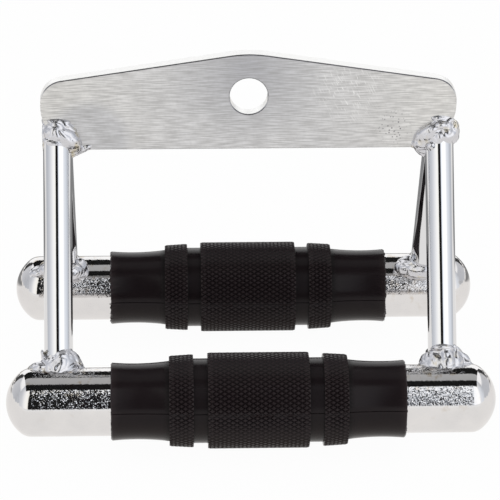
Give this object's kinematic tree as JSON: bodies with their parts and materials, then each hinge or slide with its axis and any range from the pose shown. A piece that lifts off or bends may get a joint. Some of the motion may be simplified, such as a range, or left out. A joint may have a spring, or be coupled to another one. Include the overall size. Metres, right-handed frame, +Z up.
{
  "type": "double d-handle",
  "caption": "Close-grip cable machine handle: parallel rubber-gripped bars hung on slanting rods from a peaked top plate with a hole for the cable clip.",
  "frame": {"origin": "on the floor under the middle of the handle, which stands on its two grips", "axes": "+X along the bars to the right, +Y from the front bar to the rear bar, +Z up to the plate's peak"},
  "size_m": [0.204, 0.1492, 0.1539],
  "materials": {
    "satin_plate": "satin, fine grain along the plate",
    "chromed_bar": "chrome over slightly rough bar stock",
    "chromed_rod": "smooth mirror chrome",
    "plated_weld": "chrome over lumpy weld metal",
    "black_rubber": "matte moulded rubber"
  },
  "bodies": {
    "root": {"top_plate": "satin_plate", "front_bar": "chromed_bar", "rear_bar": "chromed_bar", "front_grip": "black_rubber", "rear_grip": "black_rubber", "front_left_rod": "chromed_rod", "front_right_rod": "chromed_rod", "rear_left_rod": "chromed_rod", "rear_right_rod": "chromed_rod", "front_left_bar_weld": "plated_weld", "front_right_bar_weld": "plated_weld", "rear_left_bar_weld": "plated_weld", "rear_right_bar_weld": "plated_weld", "front_left_plate_weld": "plated_weld", "front_right_plate_weld": "plated_weld", "rear_left_plate_weld": "plated_weld", "rear_right_plate_weld": "plated_weld"}
  },
  "joints": []
}
